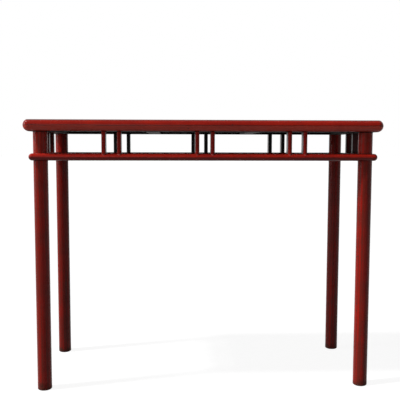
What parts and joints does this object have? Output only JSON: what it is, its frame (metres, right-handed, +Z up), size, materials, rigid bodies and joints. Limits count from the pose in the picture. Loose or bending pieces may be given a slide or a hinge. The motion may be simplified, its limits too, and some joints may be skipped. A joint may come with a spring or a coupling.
{
  "type": "altar table",
  "caption": "Red lacquered altar table: rounded framed top, straight round legs, one ring of wrap-around stretchers and short paired struts; free-standing, nothing moves.",
  "frame": {"origin": "on the floor, under the middle of the table", "axes": "+X along the table to the right as the picture sees it, +Y from front to back, +Z up"},
  "size_m": [1.094, 0.462, 0.84],
  "materials": {
    "frame_lacquer": "glossy red-brown lacquer, worn at the arris",
    "panel_lacquer": "glossy red-brown lacquer above, dark below",
    "batten_lacquer": "thin dark lacquer",
    "peg_wood": "bare hardwood, stained dark",
    "leg_lacquer": "glossy red-brown lacquer, worn and darker at the feet",
    "stretcher_lacquer": "glossy red-brown lacquer",
    "strut_lacquer": "glossy red-brown lacquer"
  },
  "bodies": {
    "root": {"top_frame_front": "frame_lacquer", "top_frame_back": "frame_lacquer", "top_frame_left": "frame_lacquer", "top_frame_right": "frame_lacquer", "panel_board_front": "panel_lacquer", "panel_board_middle": "panel_lacquer", "panel_board_back": "panel_lacquer", "batten_left": "batten_lacquer", "batten_right": "batten_lacquer", "frame_pegs": "peg_wood", "leg_front_left": "leg_lacquer", "leg_front_right": "leg_lacquer", "leg_back_left": "leg_lacquer", "leg_back_right": "leg_lacquer", "stretcher_front": "stretcher_lacquer", "stretcher_back": "stretcher_lacquer", "stretcher_left": "stretcher_lacquer", "stretcher_right": "stretcher_lacquer", "strut_front_1": "strut_lacquer", "strut_front_2": "strut_lacquer", "strut_front_3": "strut_lacquer", "strut_front_4": "strut_lacquer", "strut_front_5": "strut_lacquer", "strut_front_6": "strut_lacquer", "strut_back_1": "strut_lacquer", "strut_back_2": "strut_lacquer", "strut_back_3": "strut_lacquer", "strut_back_4": "strut_lacquer", "strut_back_5": "strut_lacquer", "strut_back_6": "strut_lacquer", "strut_left_1": "strut_lacquer", "strut_left_2": "strut_lacquer", "strut_right_1": "strut_lacquer", "strut_right_2": "strut_lacquer"}
  },
  "joints": []
}
